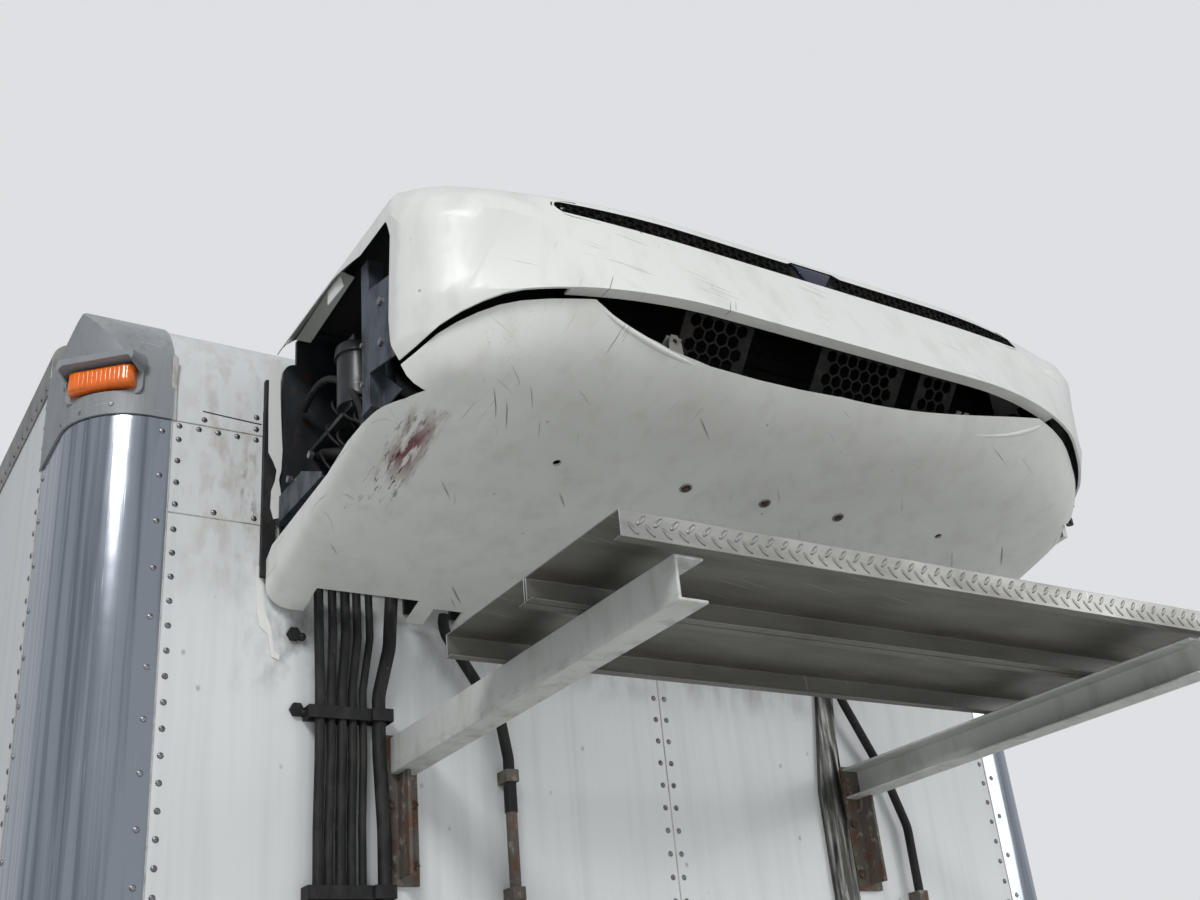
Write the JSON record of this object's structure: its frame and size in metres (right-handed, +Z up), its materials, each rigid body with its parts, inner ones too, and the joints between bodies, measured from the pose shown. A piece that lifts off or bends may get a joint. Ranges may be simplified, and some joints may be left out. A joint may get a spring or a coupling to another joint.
{
  "type": "refrigerated truck body front section with nose-mounted cooling unit",
  "caption": "Front section of an insulated truck body with a nose-mounted cooling unit, hinged service door, evaporator fans, work platform on brackets and clipped hoses.",
  "frame": {"origin": "underside of the front sill, in the plane of the wall's outer skin, midway between the sides", "axes": "+Z up, the truck's front faces -Y, +X to the right seen from the front"},
  "size_m": [2.6844, 2.226, 2.57],
  "materials": {
    "amber_lens": "gloss",
    "arm_paint": "satin",
    "black_grille": "matte",
    "black_rubber": "matte",
    "canister_paint": "satin",
    "coil_metal": "matte",
    "evaporator_case": "satin",
    "fan_black": "matte",
    "foam_core": "matte",
    "frame_steel": "satin",
    "galvanised": "matte",
    "grey_moulding": "satin",
    "liner_white": "satin",
    "machinery": "matte",
    "mill_aluminium": "satin",
    "stainless_post": "polished",
    "white_shell": "satin",
    "white_skin": "satin"
  },
  "bodies": {
    "root": {"arm_bracket_left": "galvanised", "arm_bracket_right": "galvanised", "bay_bracket": "frame_steel", "bay_post_left": "frame_steel", "bay_post_right": "frame_steel", "compressor": "machinery", "condenser_coil": "coil_metal", "corner_cap_left": "grey_moulding", "corner_cap_right": "grey_moulding", "corner_post_left": "stainless_post", "corner_post_right": "stainless_post", "coupling_block": "galvanised", "coupling_block_right": "galvanised", "drain_hose": "black_rubber", "drain_pipe": "galvanised", "engine_block": "machinery", "evaporator_housing": "evaporator_case", "fan_motors": "fan_black", "filter_canister": "canister_paint", "front_panel_left": "white_skin", "front_panel_right": "white_skin", "front_panel_upper": "white_skin", "front_sill": "mill_aluminium", "front_wall_core": "foam_core", "front_wall_liner": "liner_white", "grille_centre_piece": "black_grille", "guard_centre": "black_grille", "guard_left": "black_grille", "guard_right": "black_grille", "hose_bundle": "black_rubber", "hose_clips": "black_rubber", "hose_right": "black_rubber", "load_floor": "liner_white", "lower_shell": "white_shell", "marker_lamp_left": "amber_lens", "marker_lamp_right": "amber_lens", "pipe_clips": "galvanised", "platform_arm_left": "arm_paint", "platform_arm_right": "arm_paint", "platform_plank_front": "mill_aluminium", "platform_plank_rear": "mill_aluminium", "roof_nose": "white_skin", "roof_panel": "white_skin", "roof_rail_left": "mill_aluminium", "roof_rail_right": "mill_aluminium", "shell_tabs": "frame_steel", "side_tray": "frame_steel", "side_wall_left": "white_skin", "side_wall_right": "white_skin", "thick_hose": "black_rubber", "unit_frame": "frame_steel", "unit_seal": "black_rubber", "upper_grille": "black_grille", "upper_shell": "white_shell", "wall_duct": "galvanised"},
    "service_door": {"service_door": "white_shell"},
    "fan_left": {"evaporator_fan_left": "fan_black"},
    "fan_right": {"evaporator_fan_right": "fan_black"}
  },
  "joints": [
    {"name": "door_hinge", "type": "hinge", "parent": "root", "child": "service_door", "pos_m": [0.923, -0.603, 2.185], "axis": [0, 0, -1], "range_deg": [0, 100]},
    {"name": "fan_left_spin", "type": "hinge", "parent": "root", "child": "fan_left", "pos_m": [-0.3, 0.3583, 2.125], "axis": [0, 1, 0], "continuous": true},
    {"name": "fan_right_spin", "type": "hinge", "parent": "root", "child": "fan_right", "pos_m": [0.3, 0.3583, 2.125], "axis": [0, 1, 0], "continuous": true}
  ]
}
